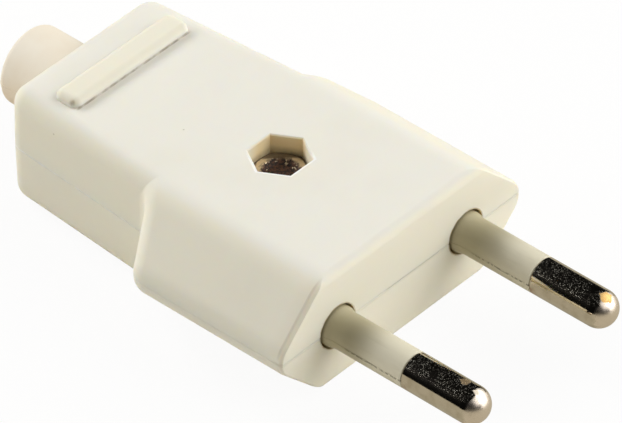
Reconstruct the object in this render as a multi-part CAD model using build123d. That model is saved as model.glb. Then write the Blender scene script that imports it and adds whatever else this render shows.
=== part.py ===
from build123d import *
import os
from math import atan2, cos, radians, sin, tan

# Two-pin rewirable mains plug of the flat European pattern, sizes in millimetres.
# The engagement face is the plane y = 0: the pins point towards -Y and the cord leaves towards +Y.
# The two shells part in the plane z = 0, and the plug lies on the lower shell's flat underside.

# Outside of the body
body_height = 13.7
body_length = 42.8
wall = 1.8
grip_length = 19.7            # wide front block, along the side bands
grip_width = 34.6
grip_flat_width = 23.0        # flat top between the slanted facets
side_band_height = 2.1        # upright band where the slanted facets would meet
facet_radius = 4.0
band_radius = 2.28
band_clearance = 0.02         # from the band's rounding to the bevel along the parting line
shoulder_sweep = 28.0         # degrees that the shoulders lean back towards the tail
shoulder_radius = 2.2
shoulder_blend_radius = 2.0   # hollow rounding that carries the shoulders into the tail's walls
shoulder_root_width = 16.0    # inside, the shoulders end in the tail's hollow
shoulder_root_radius = 3.0
nose_radius = 0.8
nose_trim = 0.25              # the engagement face cuts the nose rounding short and leaves a crisp edge
nose_roll_radius = 1.0        # softer roll of the top and bottom faces into the engagement face
tail_root_width = 23.8
tail_end_width = 20.6
tail_draft = 1.0              # degrees that the tail's walls lean in from the parting plane
tail_overlap = 2.0            # how far the tail runs on inside the grip
tail_corner_radius = 2.1
tail_edge_radius = 1.9
parting_bevel = 0.08

# Pull rib across the top of the tail
rib_length = 16.6
rib_width = 3.1
rib_height = 1.0
rib_centre_y = 36.7
rib_corner_radius = 0.9
rib_edge_radius = 0.8

# Contact pins and their insulating sleeves
pin_spacing = 18.6
pin_diameter = 4.0
pin_reach = 19.0              # from the engagement face to the tip
pin_core_diameter = 3.0
sleeve_reach = 9.8            # insulated length in front of the engagement face
sleeve_clearance = 0.02
sleeve_flare = 0.2            # the sleeve's root is this much larger in radius
sleeve_flare_length = 1.1
front_wall = 4.2
pin_hole_diameter = 4.9       # mouth round the sleeve's root
pin_hole_depth = 1.2
pin_bore_clearance = 0.05
barrel_diameter = 5.6         # terminal barrel behind the front wall
barrel_length = 10.0
wire_hole_diameter = 2.6
wire_hole_depth = 7.0
cradle_setback = 1.0
cradle_length = 3.0
cradle_wall = 1.4
seat_clearance = 0.05
stop_rib = 1.6
stop_rib_width = 5.2
wire_slot_diameter = 3.4

# Screws: one size of slot and thread clearance for all of them
thread_clearance = 0.05
slot_width = 0.7
slot_depth = 0.8
head_edge_bevel = 0.25
terminal_screw_diameter = 2.5
terminal_head_diameter = 4.0
terminal_head_height = 1.4
terminal_inset = 3.5          # from the barrel's rear end to the screw
terminal_gap = 0.1            # under the head
terminal_room = 0.05          # round the head, in the upper shell

# Assembly screw and captive nut on the centre line
fastener_y = 15.8
fastener_diameter = 3.0
fastener_clearance = 0.1
boss_wall = 1.1
nut_flats = 5.4
nut_height = 2.4
nut_depth = 2.0               # from the top face down to the nut
nut_clearance = 0.1
nut_recess_bevel = 0.15       # broken edge of the hexagon recess
nut_bevel_height = 0.32
nut_bevel_width = 0.55
screw_tip_recess = 0.4        # the screw ends this far below the nut's top
screw_head_diameter = 5.5
screw_head_height = 2.0
screw_recess_depth = 2.8
screw_recess_clearance = 0.3

# Locating pegs between the shells
peg_diameter = 2.0
peg_height = 1.4
peg_clearance = 0.1
peg_gap = 0.2                 # from a pin's barrel to the peg's boss
peg_y = 12.0
peg_boss_diameter = 3.8

# Cord outlet sleeve
cord_bore_diameter = 6.2
cord_sleeve_diameter = 8.7
cord_sleeve_reach = 7.0       # out of the rear face
cord_sleeve_tail = 2.6        # inside, in front of the flange
cord_tail_diameter = 8.0
cord_flange_width = 12.0
cord_flange_height = 9.4
cord_flange_thickness = 1.6
cord_flange_radius = 1.5
cord_rim_radius = 0.8
cord_rim_share = 0.95         # most of the rim's flat that its rounding may take up
cord_mouth_bevel = 0.4
cord_hole_clearance = 0.08
flange_clearance = 0.1
keeper_rib = 1.6

# Cord clamp
clamp_y = 30.0
clamp_seat_z = 1.4
clamp_boss_diameter = 5.0
clamp_bar_length = 17.6
clamp_bar_width = 4.8
clamp_bar_thickness = 2.0
clamp_press_width = 1.4
clamp_press_height = 0.8
clamp_press_gap = 0.8         # from the pressing ridge's ends to the bosses
clamp_hole_clearance = 0.15
clamp_room = 0.3              # round the bar, in the upper shell
clamp_screw_diameter = 2.6
clamp_screw_length = 7.0
clamp_head_diameter = 4.6
clamp_head_height = 1.4
saddle_width = 7.0
saddle_length = 4.4
saddle_top_z = -1.6

half_height = body_height / 2
inner_height = half_height - wall
pin_x = pin_spacing / 2
barrel_rear = front_wall + barrel_length
terminal_y = barrel_rear - terminal_inset
terminal_seat_z = barrel_diameter / 2 + terminal_gap
peg_x = pin_x + barrel_diameter / 2 + peg_gap + peg_boss_diameter / 2
nut_top_z = half_height - nut_depth
nut_seat_z = nut_top_z - nut_height
screw_seat_z = screw_recess_depth - half_height
recess_flats = nut_flats + 2 * nut_clearance
boss_radius = recess_flats / 3 ** 0.5 + boss_wall
flange_rear = body_length - wall - flange_clearance
flange_front = flange_rear - cord_flange_thickness
keeper_rear = flange_front - flange_clearance
saddle_radius = cord_bore_diameter / 2
clamp_spacing = clamp_bar_length - clamp_bar_width
clamp_top_z = clamp_seat_z + clamp_bar_thickness


def block(x_span, y_span, z_span):
    """Box between two limits along each axis."""
    spans = (x_span, y_span, z_span)
    size = [high - low for low, high in spans]
    centre = [(high + low) / 2 for low, high in spans]
    return Pos(*centre) * Box(*size)


def post(x, y, diameter, z_low, z_high):
    """Upright cylinder between two heights."""
    return Pos(x, y, (z_low + z_high) / 2) * Cylinder(diameter / 2, z_high - z_low)


def rod(x, diameter, y_front, y_rear):
    """Cylinder along the plug, on the parting plane."""
    turned = Rot(90, 0, 0) * Cylinder(diameter / 2, y_rear - y_front)
    return Pos(x, (y_front + y_rear) / 2, 0) * turned


def turned(outline):
    """Solid turned about the Y axis from the edges of half a section."""
    return revolve(make_face(outline), Axis.Y)


def hexagon(flats, z_low, z_high, taper=0):
    """Upright hexagon on the fastener's axis with two corners across the plug."""
    section = RegularPolygon(flats / 2, 6, major_radius=False)
    return Pos(0, fastener_y, z_low) * extrude(section, z_high - z_low, taper=taper)


def grip_section():
    """Eight-sided section of the grip with its corners rounded, facing along the plug."""
    flat, edge, band = grip_flat_width / 2, grip_width / 2, side_band_height / 2
    quarter = [(flat, half_height), (edge, band)]
    right = quarter + [(x, -z) for x, z in reversed(quarter)]
    left = [(-x, -z) for x, z in right]
    section = make_face(Polyline(*right, *left, close=True))
    section = fillet([v for v in section.vertices() if abs(v.Y) > band + 0.001], facet_radius)
    corners = [v for v in section.vertices() if abs(abs(v.X) - edge) < 0.001]
    lean = atan2(edge - flat, half_height - band)
    widest = (band - parting_bevel - band_clearance) / tan(lean / 2)
    return Plane.XZ * fillet(corners, min(band_radius, widest))


def shoulder_y(x, inset):
    """Station of the swept shoulder at a distance x from the middle, drawn in by a wall."""
    sweep = radians(shoulder_sweep)
    return grip_length + (grip_width / 2 - x) * tan(sweep) - inset / cos(sweep)


def grip_plan():
    """Plan of the grip, drawn too large at the front, with shoulders that flow into the tail's walls."""
    sweep = tan(radians(shoulder_sweep))
    taper = (tail_root_width - tail_end_width) / 2 / (body_length - grip_length)
    meet_y = grip_length + (grip_width - tail_root_width) / 2 * sweep / (1 - taper * sweep)
    rear_y = meet_y + shoulder_blend_radius
    right = [(grip_width, -body_length), (grip_width, shoulder_y(grip_width, 0))]
    right += [(tail_half_width(y), y) for y in (meet_y, rear_y)]
    left = [(-x, y) for x, y in reversed(right)]
    plan = make_face(Polyline(*right, *left, close=True))
    return fillet([v for v in plan.vertices() if abs(v.Y - meet_y) < 0.001], shoulder_blend_radius)


def is_upright(edge):
    """True for a long edge between two walls, which leans only with the draft."""
    size = edge.bounding_box().size
    return size.Z > half_height / 2 and max(size.X, size.Y) < size.Z / 10


def grip_half():
    """Upper half of the front block: rounded shoulders, and a nose that the engagement face cuts off."""
    prism = Pos(0, -nose_trim, 0) * extrude(grip_section(), body_length, dir=(0, 1, 0))
    right = block((0, grip_width), (-body_length, body_length), (0, body_height))
    grip = prism & right & extrude(grip_plan(), body_height, taper=tail_draft)
    lean = sin(radians(tail_draft))
    drafted = [face for face in grip.faces() if abs(face.normal_at().Z - lean) < 0.001]
    outline = [edge for face in drafted if face.normal_at().Y < 0.99 for edge in face.edges()]
    rims = [edge for edge in outline if edge.bounding_box().max.Z > 0.001 and not is_upright(edge)]
    grip = fillet(rims, shoulder_radius)
    grip += mirror(grip, Plane.YZ)
    front = grip.faces().sort_by(Axis.Y)[0]
    grip = fillet([edge for edge in front.edges() if edge.bounding_box().max.Z > 0.001], nose_radius)
    rolled = block((-grip_width, grip_width), (0, body_length), (-half_height, half_height))
    front_edges = rolled.edges().filter_by(Axis.X).group_by(Axis.Y)[0]
    return grip & fillet(front_edges, nose_roll_radius)


def grip_room():
    """Hollow of the grip, one wall inside its section and its swept shoulders."""
    edge, root = grip_width / 2 - wall, shoulder_root_width / 2
    right = [(edge, front_wall), (edge, shoulder_y(edge, wall)), (root, shoulder_y(root, wall))]
    left = [(-x, y) for x, y in reversed(right)]
    plan = make_face(Polyline(*right, *left, close=True))
    plan = fillet(plan.vertices().group_by(Axis.Y)[-1], shoulder_root_radius)
    prism = Pos(0, front_wall, 0) * extrude(offset(grip_section(), -wall), body_length, dir=(0, 1, 0))
    return prism & Pos(0, 0, -body_height) * extrude(plan, 2 * body_height)


def tail_half_width(y):
    """Half the tail's width at a distance y behind the engagement face."""
    share = (y - grip_length) / (body_length - grip_length)
    return (tail_root_width + (tail_end_width - tail_root_width) * share) / 2


def tail_plan(y_front, y_rear, inset):
    """Tapered plan of the tail between two stations, drawn in by a wall."""
    front = tail_half_width(y_front) - inset
    rear = tail_half_width(y_rear) - inset
    corners = [(front, y_front), (rear, y_rear), (-rear, y_rear), (-front, y_front)]
    return make_face(Polyline(*corners, close=True))


def tail_half():
    """Upper half of the rear block: tapered and drafted sides with rounded corners and edge."""
    root = grip_length - tail_overlap
    plan = tail_plan(root, body_length, 0)
    plan = fillet(plan.vertices().group_by(Axis.Y)[-1], tail_corner_radius)
    tail = extrude(plan, half_height, taper=tail_draft)
    rim = tail.edges().group_by(Axis.Z)[-1]
    return fillet(rim.sort_by(Axis.Y)[1:], tail_edge_radius)


def pull_rib():
    """Raised rib across the top of the tail, rounded all over."""
    y_span = (rib_centre_y - rib_width / 2, rib_centre_y + rib_width / 2)
    x_span = (-rib_length / 2, rib_length / 2)
    rib = block(x_span, y_span, (inner_height, half_height + rib_height))
    rib = fillet(rib.edges().filter_by(Axis.Z), rib_corner_radius)
    return fillet(rib.faces().sort_by(Axis.Z)[-1].edges(), rib_edge_radius)


def outer_half(side):
    """Solid upper (+1) or lower (-1) half of the body, bevelled along the parting line."""
    half = grip_half() + tail_half()
    parting = half.faces().sort_by(Axis.Z)[0]
    half = chamfer(parting.outer_wire().edges(), parting_bevel)
    return half if side > 0 else mirror(half, Plane.XY)


def inner_space():
    """Hollow inside both shells: the wiring room in the grip and the cord room in the tail."""
    plan = tail_plan(grip_length - 2 * wall, body_length - wall, wall)
    return grip_room() + Pos(0, 0, -inner_height) * extrude(plan, 2 * inner_height)


def span(side, near, far):
    """Height limits on one side of the parting plane."""
    return (near, far) if side > 0 else (-far, -near)


def seats(side):
    """Ribs and posts inside one shell that hold the pins, the fastener and the cord sleeve."""
    reach = span(side, 0, half_height)
    cradle_y = (front_wall + cradle_setback, front_wall + cradle_setback + cradle_length)
    stop_y = (barrel_rear + seat_clearance, barrel_rear + seat_clearance + stop_rib)
    keeper_y = (keeper_rear - keeper_rib, keeper_rear)
    cradle_half = barrel_diameter / 2 + cradle_wall
    held = post(0, fastener_y, 2 * boss_radius, *reach)
    for x in (-pin_x, pin_x):
        held += block((x - cradle_half, x + cradle_half), cradle_y, reach)
        held += block((x - stop_rib_width / 2, x + stop_rib_width / 2), stop_y, reach)
    for x in (-peg_x, peg_x):
        held += post(x, peg_y, peg_boss_diameter, *reach)
    keeper_half = tail_half_width(keeper_rear) - wall / 2
    held += block((-keeper_half, keeper_half), keeper_y, reach)
    for x in (-pin_x, pin_x):
        held -= rod(x, barrel_diameter + 2 * seat_clearance, *cradle_y)
        held -= rod(x, wire_slot_diameter, *stop_y)
    return held - rod(0, cord_tail_diameter + 2 * cord_hole_clearance, *keeper_y)


def flange_block(room):
    """Cord sleeve's flange, or the seat that takes it with some room all round."""
    width, height = cord_flange_width + 2 * room, cord_flange_height + 2 * room
    face = Plane.XZ * RectangleRounded(width, height, cord_flange_radius + room)
    plate = extrude(face, cord_flange_thickness + 2 * room, dir=(0, 1, 0))
    return Pos(0, flange_front - room, 0) * plate


def outlets():
    """Bores through the front wall for the pins, and the cord sleeve's hole and flange seat."""
    cuts = rod(0, cord_sleeve_diameter + 2 * cord_hole_clearance, flange_rear, 2 * body_length)
    cuts += flange_block(flange_clearance)
    for x in (-pin_x, pin_x):
        cuts += rod(x, pin_diameter + 2 * pin_bore_clearance, -front_wall, front_wall)
        cuts += rod(x, pin_hole_diameter, -front_wall, pin_hole_depth)
    return cuts


def shell(side):
    """One half of the body, hollowed, with its seats and outlets."""
    outside = outer_half(side)
    hollow = outside - inner_space()
    return hollow + (seats(side) & outside) - outlets()


def upper_shell():
    """Top half: pull rib, bevelled hexagon recess over the nut, peg sockets and room for the screws."""
    half = shell(1) + pull_rib()
    half -= hexagon(recess_flats, nut_seat_z, body_height)
    half -= hexagon(recess_flats, half_height - nut_recess_bevel, half_height, taper=-45)
    half -= post(0, fastener_y, fastener_diameter + 2 * fastener_clearance, -1, nut_seat_z + 1)
    for x in (-peg_x, peg_x):
        half -= post(x, peg_y, peg_diameter + 2 * peg_clearance, -1, peg_height + peg_clearance)
    head_room = terminal_head_diameter + 2 * terminal_room
    for x in (-pin_x, pin_x):
        half -= post(x, terminal_y, head_room, 0, terminal_seat_z + terminal_head_height + terminal_room)
    room = SlotOverall(clamp_bar_length + 2 * clamp_room, clamp_bar_width + 2 * clamp_room)
    return half - Pos(0, clamp_y, 0) * extrude(room, clamp_top_z + clamp_head_height)


def lower_shell():
    """Bottom half: screw recess, pegs, cord saddle and the clamp's two bosses."""
    half = shell(-1)
    for x in (-peg_x, peg_x):
        half += post(x, peg_y, peg_diameter, -peg_height, peg_height)
    for x in (-clamp_spacing / 2, clamp_spacing / 2):
        half += post(x, clamp_y, clamp_boss_diameter, -half_height + wall / 2, clamp_seat_z)
    saddle_y = (clamp_y - saddle_length / 2, clamp_y + saddle_length / 2)
    saddle = block((-saddle_width / 2, saddle_width / 2), saddle_y, (-half_height + wall / 2, saddle_top_z))
    half += saddle - rod(0, 2 * saddle_radius, *saddle_y)
    half -= post(0, fastener_y, fastener_diameter + 2 * fastener_clearance, -body_height, 1)
    recess = screw_head_diameter + 2 * screw_recess_clearance
    half -= post(0, fastener_y, recess, -body_height, screw_seat_z)
    thread_low = clamp_top_z - clamp_screw_length - thread_clearance
    for x in (-clamp_spacing / 2, clamp_spacing / 2):
        thread = clamp_screw_diameter + 2 * thread_clearance
        half -= post(x, clamp_y, thread, thread_low, clamp_seat_z + 1)
    return half


def contact_pin(x):
    """Turned pin: round tip, slim core under the sleeve and a drilled terminal barrel."""
    radius, core, barrel = pin_diameter / 2, pin_core_diameter / 2, barrel_diameter / 2
    tip = CenterArc((0, radius - pin_reach), radius, 270, 90)
    side = Polyline(
        (radius, radius - pin_reach),
        (radius, -sleeve_reach),
        (core, -sleeve_reach),
        (core, front_wall),
        (barrel, front_wall),
        (barrel, barrel_rear),
        (0, barrel_rear),
        (0, -pin_reach),
    )
    pin = Pos(x, 0, 0) * turned(tip.edges() + side.edges())
    pin -= rod(x, wire_hole_diameter, barrel_rear - wire_hole_depth, barrel_rear + 1)
    tapped = terminal_screw_diameter + 2 * thread_clearance
    return pin - post(x, terminal_y, tapped, 0, barrel_diameter)


def pin_sleeve(x):
    """Insulating sleeve with a flared root that sits in the mouth of the pin's hole."""
    bore = pin_core_diameter / 2 + sleeve_clearance
    radius = pin_diameter / 2
    root = pin_hole_depth - pin_bore_clearance
    section = Polyline(
        (bore, -sleeve_reach + sleeve_clearance),
        (radius, -sleeve_reach + sleeve_clearance),
        (radius, -sleeve_flare_length),
        (radius + sleeve_flare, 0),
        (radius + sleeve_flare, root),
        (radius, root),
        (radius, front_wall - sleeve_clearance),
        (bore, front_wall - sleeve_clearance),
        close=True,
    )
    return Pos(x, 0, 0) * turned(section.edges())


def slotted_screw(diameter, length, head_diameter, head_height):
    """Slotted screw standing on the XY plane by the underside of its head, shank down."""
    head = post(0, 0, head_diameter, 0, head_height)
    head = chamfer(head.faces().sort_by(Axis.Z)[-1].edges(), head_edge_bevel)
    slot_z = (head_height - slot_depth, head_height + 1)
    slot = block((-head_diameter, head_diameter), (-slot_width / 2, slot_width / 2), slot_z)
    return head - slot + post(0, 0, diameter, -length, 0)


def terminal_screw(x):
    """Screw down into a pin's barrel, clear of the far wall of the wire hole."""
    length = terminal_seat_z
    screw = slotted_screw(terminal_screw_diameter, length, terminal_head_diameter, terminal_head_height)
    return Pos(x, terminal_y, terminal_seat_z) * screw


def assembly_screw():
    """Screw up through both shells from the recess in the underside."""
    length = nut_top_z - screw_tip_recess - screw_seat_z
    screw = slotted_screw(fastener_diameter, length, screw_head_diameter, screw_head_height)
    return Pos(0, fastener_y, screw_seat_z) * Rot(180, 0, 0) * screw


def assembly_nut():
    """Hexagon nut with bevelled corners, bored to clear the screw's crests."""
    corner_diameter = 2 * nut_flats / 3 ** 0.5
    blank = post(0, fastener_y, corner_diameter, nut_seat_z, nut_top_z)
    blank = chamfer(blank.edges().filter_by(GeomType.CIRCLE), nut_bevel_height, nut_bevel_width)
    nut = hexagon(nut_flats, nut_seat_z, nut_top_z) & blank
    return nut - post(0, fastener_y, fastener_diameter + 2 * thread_clearance, nut_seat_z, nut_top_z)


def cord_sleeve():
    """Outlet sleeve with a rounded rim and a flat flange that the shells trap."""
    outer, tail, bore = cord_sleeve_diameter / 2, cord_tail_diameter / 2, cord_bore_diameter / 2
    front = flange_front - cord_sleeve_tail
    rear = body_length + cord_sleeve_reach
    section = make_face(Polyline(
        (bore, front),
        (tail, front),
        (tail, flange_front),
        (outer, flange_front),
        (outer, rear),
        (bore, rear),
        close=True,
    ))
    rim = section.vertices().group_by(Axis.Y)[-1].sort_by(Axis.X)
    mouth_x = rim[0].X
    widest = cord_rim_share * (outer - bore - cord_mouth_bevel)
    section = fillet(rim[-1], min(cord_rim_radius, widest))
    mouth = [v for v in section.vertices() if abs(v.X - mouth_x) < 0.001 and abs(v.Y - rear) < 0.001]
    section = chamfer(mouth, cord_mouth_bevel)
    flange = flange_block(0) - rod(0, cord_bore_diameter, flange_front, flange_rear)
    return turned(section.edges()) + flange


def cord_clamp_bar():
    """Round-ended bar on the clamp bosses, with a pressing ridge under its middle."""
    bar = extrude(SlotOverall(clamp_bar_length, clamp_bar_width), clamp_bar_thickness)
    bar = Pos(0, clamp_y, clamp_seat_z) * bar
    ridge_half = (clamp_spacing - clamp_boss_diameter) / 2 - clamp_press_gap
    ridge_y = (clamp_y - clamp_press_width / 2, clamp_y + clamp_press_width / 2)
    ridge_z = (clamp_seat_z - clamp_press_height, clamp_seat_z + clamp_bar_thickness / 2)
    ridge = block((-ridge_half, ridge_half), ridge_y, ridge_z)
    under = ridge.edges().filter_by(Axis.X).group_by(Axis.Z)[0]
    bar += fillet(under, clamp_press_width / 3)
    for x in (-clamp_spacing / 2, clamp_spacing / 2):
        hole = clamp_screw_diameter + 2 * clamp_hole_clearance
        bar -= post(x, clamp_y, hole, clamp_seat_z - 1, clamp_top_z + 1)
    return bar


def cord_clamp_screws():
    """Pair of screws that pull the clamp bar down."""
    screw = slotted_screw(clamp_screw_diameter, clamp_screw_length, clamp_head_diameter, clamp_head_height)
    places = (-clamp_spacing / 2, clamp_spacing / 2)
    return Compound([Pos(x, clamp_y, clamp_top_z) * screw for x in places])


pieces = {
    "upper_shell": upper_shell(),
    "lower_shell": lower_shell(),
    "left_pin": contact_pin(-pin_x),
    "right_pin": contact_pin(pin_x),
    "left_pin_sleeve": pin_sleeve(-pin_x),
    "right_pin_sleeve": pin_sleeve(pin_x),
    "left_terminal_screw": terminal_screw(-pin_x),
    "right_terminal_screw": terminal_screw(pin_x),
    "assembly_nut": assembly_nut(),
    "assembly_screw": assembly_screw(),
    "cord_sleeve": cord_sleeve(),
    "cord_clamp_bar": cord_clamp_bar(),
    "cord_clamp_screws": cord_clamp_screws(),
}

os.makedirs("parts", exist_ok=True)
for name, shape in pieces.items():
    export_step(shape, f"parts/{name}.step")
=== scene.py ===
"""Looks of a flat two-pin plug: finished shells, modelled metalwork and sleeves, and a white studio.

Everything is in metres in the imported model's own frame: pins towards -Y, cord outlet towards +Y, top up.
"""
import logging
import math
from abc import ABC, abstractmethod
from dataclasses import dataclass
from enum import Enum
from typing import Callable, Mapping, Optional, Sequence, Union

import bpy
from mathutils import Matrix, Vector


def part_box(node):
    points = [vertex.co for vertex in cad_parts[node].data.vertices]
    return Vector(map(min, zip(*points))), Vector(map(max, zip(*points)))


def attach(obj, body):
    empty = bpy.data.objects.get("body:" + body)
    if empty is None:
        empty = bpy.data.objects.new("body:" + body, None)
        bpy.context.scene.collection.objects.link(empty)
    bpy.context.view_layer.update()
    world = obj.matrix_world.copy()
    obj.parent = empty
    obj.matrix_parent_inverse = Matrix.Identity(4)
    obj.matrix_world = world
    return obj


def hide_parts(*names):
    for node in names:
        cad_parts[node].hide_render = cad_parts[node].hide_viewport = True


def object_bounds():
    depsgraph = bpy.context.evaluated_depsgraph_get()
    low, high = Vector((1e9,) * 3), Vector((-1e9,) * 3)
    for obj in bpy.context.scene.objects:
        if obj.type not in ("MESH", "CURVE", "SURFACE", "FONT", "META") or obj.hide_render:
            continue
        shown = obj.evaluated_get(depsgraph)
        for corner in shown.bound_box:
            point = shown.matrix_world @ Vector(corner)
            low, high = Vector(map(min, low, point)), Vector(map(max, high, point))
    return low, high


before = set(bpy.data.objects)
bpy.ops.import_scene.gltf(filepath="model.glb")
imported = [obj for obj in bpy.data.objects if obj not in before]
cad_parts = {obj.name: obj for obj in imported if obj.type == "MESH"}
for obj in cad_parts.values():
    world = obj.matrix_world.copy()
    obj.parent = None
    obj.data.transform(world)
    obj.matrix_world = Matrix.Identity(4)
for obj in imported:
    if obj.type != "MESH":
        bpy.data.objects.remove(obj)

CAD_LOW, CAD_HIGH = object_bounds()
MM = 0.001
BODY = "root"
SMOOTH_ANGLE = math.radians(30)
# Points closer than this are one point, and faces smaller than this are slivers.
WELD = 1e-7
LEAST_AREA = 1e-12
PLASTIC_IOR = 1.5
# Here the sleeves end and the bare pins begin.
SLEEVE_END = -9.8 * MM
RIB_HEIGHT = 1.0 * MM
# Only the pull rib stands above the top face.
TOP_FACE = CAD_HIGH.z - RIB_HEIGHT
# A cutting tool passes the faces that it cuts by this much.
OVERCUT = 1.0 * MM

log = logging.getLogger("plug")

Colour = tuple[float, float, float, float]
Place = tuple[float, float, float]
# A point of a profile is a radius and a station along the axis.
Point = tuple[float, float]
# A fade is the value that gives 0 and the value that gives 1.
Fade = tuple[float, float]


def srgb(red: int, green: int, blue: int) -> Colour:
    """Turns a screen colour into the linear colour that a shader takes.

    Args:
        red: Red from 0 to 255.
        green: Green from 0 to 255.
        blue: Blue from 0 to 255.

    Returns:
        The linear colour with full alpha.
    """
    def linear(level: int) -> float:
        """Undoes the screen's curve for one channel."""
        share = level / 255
        return share / 12.92 if share <= 0.04045 else ((share + 0.055) / 1.055) ** 2.4

    return linear(red), linear(green), linear(blue), 1.0


class Side(Enum):
    """Which of the two pins a piece belongs to."""

    LEFT = "left"
    RIGHT = "right"


class Axis(Enum):
    """Directions that a piece is turned about."""

    LENGTH = (0.0, 1.0, 0.0)
    UP = (0.0, 0.0, 1.0)


class Element(Enum):
    """Kinds of mesh element that are picked by a test."""

    EDGE = "EDGE"
    FACE = "FACE"


class Joining(Enum):
    """Ways in which a tool is combined with a piece."""

    CUT = "DIFFERENCE"
    JOIN = "UNION"
    TRIM = "INTERSECT"


class Slot(Enum):
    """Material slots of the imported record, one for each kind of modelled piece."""

    PIN = "pin_metal"
    PIN_SLEEVE = "pin_sleeve_plastic"
    CORD_SLEEVE = "cord_sleeve_rubber"
    SCREW = "screw_steel"


class Wire:
    """One output of a node graph; arithmetic on it adds Math nodes."""

    def __init__(self, graph: "Graph", socket: bpy.types.NodeSocket) -> None:
        """Keeps the graph and the socket."""
        self.graph = graph
        self.socket = socket

    def _math(self, operation: str, *others: Union["Wire", float], swapped: bool = False) -> "Wire":
        """Adds a Math node.

        Args:
            operation: The node's operation.
            others: Further operands.
            swapped: True where this wire is the second operand.

        Returns:
            The node's output.
        """
        operands = [self, *others]
        if swapped:
            operands.reverse()
        node = self.graph.node("ShaderNodeMath", {"operation": operation}, dict(enumerate(operands)))
        return self.graph.wire(node, "Value")

    def __add__(self, other: Union["Wire", float]) -> "Wire":
        """Sum."""
        return self._math("ADD", other)

    __radd__ = __add__

    def __sub__(self, other: Union["Wire", float]) -> "Wire":
        """Difference."""
        return self._math("SUBTRACT", other)

    def __rsub__(self, other: float) -> "Wire":
        """Difference from a number."""
        return self._math("SUBTRACT", other, swapped=True)

    def __mul__(self, other: Union["Wire", float]) -> "Wire":
        """Product."""
        return self._math("MULTIPLY", other)

    __rmul__ = __mul__

    def __truediv__(self, other: Union["Wire", float]) -> "Wire":
        """Quotient."""
        return self._math("DIVIDE", other)

    def __abs__(self) -> "Wire":
        """Size without sign."""
        return self._math("ABSOLUTE")

    def at_least(self, other: Union["Wire", float]) -> "Wire":
        """The larger of two values."""
        return self._math("MAXIMUM", other)

    def above(self, limit: float) -> "Wire":
        """One where the value is above a limit, else zero."""
        return self._math("GREATER_THAN", limit)

    def swing(self, size: float) -> "Wire":
        """Noise moved to swing about 0, times a size."""
        return (self - 0.5) * size

    def ramp(self, low: float, high: float) -> "Wire":
        """Smooth step from 0 at low to 1 at high.

        Args:
            low: Value that gives 0.
            high: Value that gives 1; it may be below low.

        Returns:
            The step's output, held between 0 and 1.
        """
        settings = {"interpolation_type": "SMOOTHSTEP", "clamp": True}
        inputs = {"Value": self, "From Min": low, "From Max": high}
        return self.graph.wire(self.graph.node("ShaderNodeMapRange", settings, inputs), "Result")


SocketValue = Union[Wire, float, Sequence[float]]


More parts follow.
